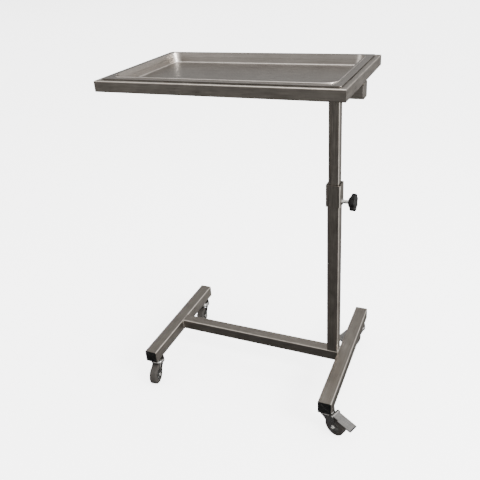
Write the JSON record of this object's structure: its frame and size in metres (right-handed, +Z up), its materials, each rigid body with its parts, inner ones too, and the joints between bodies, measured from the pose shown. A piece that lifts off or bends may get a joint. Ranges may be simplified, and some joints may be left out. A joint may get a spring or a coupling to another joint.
{
  "type": "instrument cart",
  "caption": "Height-adjustable instrument cart: a lift-out steel tray on a frame, held by a clamped telescopic side post over an H base on swivel casters with brakes.",
  "frame": {"origin": "on the floor under the centre of the bounding box, which includes the pedal that reaches out on the right", "axes": "+Z up; +X from the open side of the table towards the post; -Y is the front long side, which the camera sees"},
  "size_m": [0.7214, 0.4998, 1.0096],
  "materials": {
    "stainless_tube": "brushed along the tube, edges worn bright",
    "stainless_sheet": "pressed sheet with a satin brushed floor",
    "chrome_plate": "bright plate on pressed steel",
    "zinc_plated_steel": "bright turned and threaded steel",
    "pedal_steel": "light grey satin pressing",
    "black_plastic": "fine moulded grain",
    "nylon": "smooth self-lubricating plastic",
    "grey_plastic": "moulded wheel centre",
    "grey_tread": "non-marking dark grey rubber"
  },
  "bodies": {
    "base": {"spine_tube": "stainless_tube", "left_foot_rail": "stainless_tube", "left_rail_front_cap": "black_plastic", "left_rail_rear_cap": "black_plastic", "right_foot_rail": "stainless_tube", "right_rail_front_cap": "black_plastic", "right_rail_rear_cap": "black_plastic", "caster_nuts": "zinc_plated_steel", "lower_post_tube": "stainless_tube", "clamp_collar": "stainless_tube", "post_guide_sleeve": "nylon", "clamp_nut": "zinc_plated_steel", "front_left_stem": "zinc_plated_steel", "rear_left_stem": "zinc_plated_steel", "front_right_stem": "zinc_plated_steel", "rear_right_stem": "zinc_plated_steel"},
    "table": {"upper_post_tube": "stainless_tube", "glide_plug": "nylon", "crossbar_tube": "stainless_tube", "crossbar_end_plates": "stainless_tube", "frame_front_tube": "stainless_tube", "frame_back_tube": "stainless_tube", "frame_left_tube": "stainless_tube", "frame_right_tube": "stainless_tube"},
    "tray": {"instrument_tray": "stainless_sheet"},
    "clamp_pad": {"pressure_pad": "nylon"},
    "clamp_knob": {"clamp_stud": "zinc_plated_steel", "knob_insert": "zinc_plated_steel", "knob_grip": "black_plastic"},
    "front_left_swivel": {"front_left_fork": "chrome_plate", "front_left_axle": "zinc_plated_steel"},
    "front_left_wheel": {"front_left_hub": "grey_plastic", "front_left_tyre": "grey_tread"},
    "rear_left_swivel": {"rear_left_fork": "chrome_plate", "rear_left_axle": "zinc_plated_steel"},
    "rear_left_wheel": {"rear_left_hub": "grey_plastic", "rear_left_tyre": "grey_tread"},
    "front_right_swivel": {"front_right_fork": "chrome_plate", "front_right_axle": "zinc_plated_steel", "front_right_brake_pin": "zinc_plated_steel"},
    "front_right_wheel": {"front_right_hub": "grey_plastic", "front_right_tyre": "grey_tread"},
    "front_right_brake": {"front_right_brake_pedal": "pedal_steel"},
    "rear_right_swivel": {"rear_right_fork": "chrome_plate", "rear_right_axle": "zinc_plated_steel", "rear_right_brake_pin": "zinc_plated_steel"},
    "rear_right_wheel": {"rear_right_hub": "grey_plastic", "rear_right_tyre": "grey_tread"},
    "rear_right_brake": {"rear_right_brake_pedal": "pedal_steel"}
  },
  "joints": [
    {"name": "table_height", "type": "slide", "parent": "base", "child": "table", "axis": [0, 0, 1], "range_m": [-0.2, 0.2]},
    {"name": "tray_lift", "type": "slide", "parent": "table", "child": "tray", "axis": [0, 0, 1], "range_m": [0, 0.1]},
    {"name": "clamp_stud_travel", "type": "slide", "parent": "base", "child": "clamp_pad", "axis": [1, 0, 0], "range_m": [0, 0.003]},
    {"name": "clamp_knob_turn", "type": "hinge", "parent": "clamp_pad", "child": "clamp_knob", "pos_m": [0.2328, 0.0069, 0.64], "axis": [1, 0, 0], "range_deg": [0, 722]},
    {"name": "front_left_swivel_turn", "type": "hinge", "parent": "base", "child": "front_left_swivel", "pos_m": [-0.3217, -0.1651, 0.06], "axis": [0, 0, 1], "continuous": true},
    {"name": "front_left_wheel_roll", "type": "hinge", "parent": "front_left_swivel", "child": "front_left_wheel", "pos_m": [-0.31649, -0.19464, 0.0315], "axis": [0.9848, 0.1736, 0], "continuous": true},
    {"name": "rear_left_swivel_turn", "type": "hinge", "parent": "base", "child": "rear_left_swivel", "pos_m": [-0.3217, 0.1789, 0.06], "axis": [0, 0, 1], "continuous": true},
    {"name": "rear_left_wheel_roll", "type": "hinge", "parent": "rear_left_swivel", "child": "rear_left_wheel", "pos_m": [-0.31649, 0.14936, 0.0315], "axis": [0.9848, 0.1736, 0], "continuous": true},
    {"name": "front_right_swivel_turn", "type": "hinge", "parent": "base", "child": "front_right_swivel", "pos_m": [0.2703, -0.2021, 0.06], "axis": [0, 0, 1], "continuous": true},
    {"name": "front_right_wheel_roll", "type": "hinge", "parent": "front_right_swivel", "child": "front_right_wheel", "pos_m": [0.29812, -0.21334, 0.0315], "axis": [0.3746, 0.9272, 0], "continuous": true},
    {"name": "front_right_brake_press", "type": "hinge", "parent": "front_right_swivel", "child": "front_right_brake", "pos_m": [0.29626, -0.21259, 0.0705], "axis": [0.3746, 0.9272, 0], "range_deg": [0, 10]},
    {"name": "rear_right_swivel_turn", "type": "hinge", "parent": "base", "child": "rear_right_swivel", "pos_m": [0.2703, 0.2159, 0.06], "axis": [0, 0, 1], "continuous": true},
    {"name": "rear_right_wheel_roll", "type": "hinge", "parent": "rear_right_swivel", "child": "rear_right_wheel", "pos_m": [0.25352, 0.19103, 0.0315], "axis": [0.829, -0.5592, 0], "continuous": true},
    {"name": "rear_right_brake_press", "type": "hinge", "parent": "rear_right_swivel", "child": "rear_right_brake", "pos_m": [0.25464, 0.19269, 0.0705], "axis": [0.829, -0.5592, 0], "range_deg": [0, 10]}
  ],
  "couplings": [
    {"joint": "clamp_knob_turn", "follows": "clamp_stud_travel", "rad_per_m": 4188.8}
  ]
}
